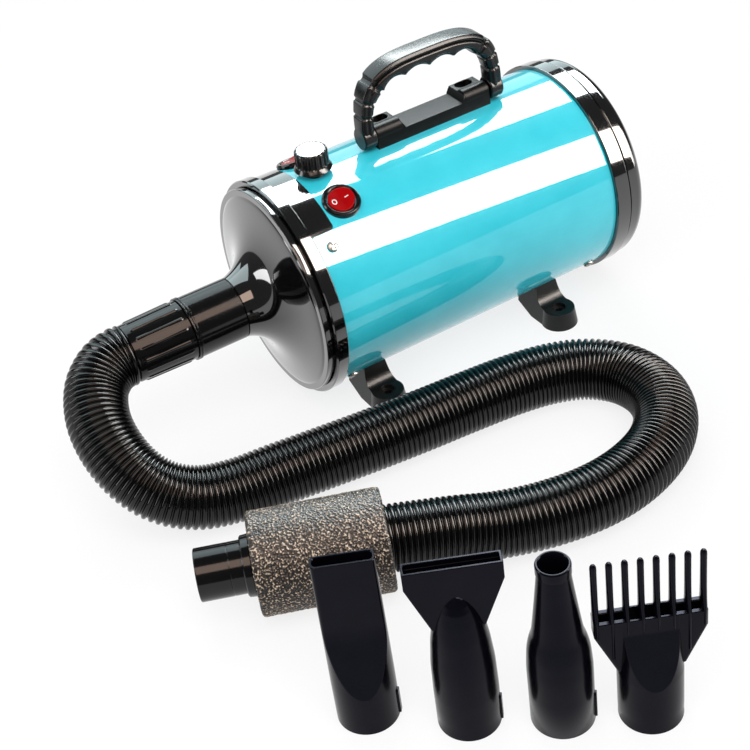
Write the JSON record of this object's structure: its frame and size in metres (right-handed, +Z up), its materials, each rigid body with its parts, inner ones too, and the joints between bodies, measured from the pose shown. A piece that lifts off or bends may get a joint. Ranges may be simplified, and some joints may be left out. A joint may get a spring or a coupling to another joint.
{
  "type": "pet dryer",
  "caption": "Pet dryer: a blower barrel on feet with a folding handle, speed knob, rocker switches, ribbed hose, foam grip and loose nozzles.",
  "frame": {"origin": "on the floor, at the centre of the four foot holes", "axes": "+X along the barrel towards the air intake, +Y towards the side away from the heat rocker, +Z up"},
  "size_m": [0.476, 0.5254, 0.241],
  "materials": {
    "cyan_paint": "gloss",
    "gloss_black": "gloss",
    "satin_black": "satin",
    "filter_foam": "matte",
    "steel": "brushed",
    "silver_cap": "spun",
    "red_plastic": "gloss",
    "hose_rubber": "satin",
    "grip_foam": "matte",
    "fan_metal": "satin",
    "copper": "satin",
    "core_steel": "matte",
    "carbon": "matte",
    "soft_rubber": "matte",
    "mica": "matte",
    "ceramic": "matte",
    "board_green": "satin"
  },
  "bodies": {
    "blower": {"barrel": "cyan_paint", "front_ring": "gloss_black", "outlet_bell": "gloss_black", "rear_ring": "gloss_black", "intake_filter": "filter_foam", "label_plate": "gloss_black", "handle_base": "satin_black", "handle_pins": "satin_black", "handle_screws": "steel", "knob_collar": "satin_black", "potentiometer": "steel", "heat_bezel": "gloss_black", "power_bezel": "gloss_black", "foot_front_near": "satin_black", "foot_front_far": "satin_black", "foot_rear_near": "satin_black", "foot_rear_far": "satin_black", "foot_screws": "steel", "barrel_screws": "steel", "cord_gland": "satin_black", "cuff_connector": "gloss_black", "hose": "hose_rubber", "foam_grip": "grip_foam", "grip_collar": "gloss_black", "end_tube": "gloss_black", "motor_can": "steel", "fan_cover": "fan_metal", "stator": "core_steel", "motor_bearings": "steel", "motor_brushes": "carbon", "motor_mounts": "soft_rubber", "sound_liner": "filter_foam", "heat_shield": "mica", "heater_frame": "mica", "heater_coil": "copper", "thermal_cutout": "ceramic", "control_board": "board_green"},
    "rotor": {"motor_shaft": "steel", "armature": "copper", "commutator": "copper", "impeller": "fan_metal"},
    "handle": {"handle_grip": "gloss_black"},
    "knob": {"speed_knob": "satin_black", "knob_cap": "silver_cap", "pot_shaft": "steel"},
    "heat_switch": {"heat_rocker": "red_plastic"},
    "power_switch": {"power_rocker": "red_plastic"},
    "swivel": {"cuff_swivel": "gloss_black"},
    "cover": {"intake_cover": "gloss_black"},
    "flat_piece": {"flat_nozzle": "gloss_black"},
    "wide_piece": {"wide_nozzle": "gloss_black"},
    "round_piece": {"round_nozzle": "gloss_black"},
    "comb_piece": {"comb_nozzle": "gloss_black"}
  },
  "joints": [
    {"name": "rotor_spin", "type": "hinge", "parent": "blower", "child": "rotor", "pos_m": [0.051, 0, 0.092], "axis": [1, 0, 0], "continuous": true},
    {"name": "handle_fold", "type": "hinge", "parent": "blower", "child": "handle", "pos_m": [0.023, 0.001, 0.185], "axis": [1, 0, 0], "range_deg": [-90, 90]},
    {"name": "speed_turn", "type": "hinge", "parent": "blower", "child": "knob", "pos_m": [-0.0805, 0, 0.1845], "axis": [0, 0, 1], "range_deg": [0, 300]},
    {"name": "heat_press", "type": "hinge", "parent": "blower", "child": "heat_switch", "pos_m": [-0.08, -0.0366, 0.16705], "axis": [0, 0.8988, 0.4384], "range_deg": [0, 16]},
    {"name": "power_press", "type": "hinge", "parent": "blower", "child": "power_switch", "pos_m": [-0.08, 0.03128, 0.16942], "axis": [0, 0.9272, -0.3746], "range_deg": [0, 16]},
    {"name": "cuff_turn", "type": "hinge", "parent": "blower", "child": "swivel", "pos_m": [-0.229, 0, 0.092], "axis": [1, 0, 0], "continuous": true},
    {"name": "cover_pull", "type": "slide", "parent": "blower", "child": "cover", "axis": [1, 0, 0], "range_m": [0, 0.045]},
    {"name": "flat_lift", "type": "slide", "parent": "blower", "child": "flat_piece", "axis": [0, 0, 1], "range_m": [0, 0.15]},
    {"name": "wide_lift", "type": "slide", "parent": "blower", "child": "wide_piece", "axis": [0, 0, 1], "range_m": [0, 0.15]},
    {"name": "round_lift", "type": "slide", "parent": "blower", "child": "round_piece", "axis": [0, 0, 1], "range_m": [0, 0.15]},
    {"name": "comb_lift", "type": "slide", "parent": "blower", "child": "comb_piece", "axis": [0, 0, 1], "range_m": [0, 0.15]}
  ]
}
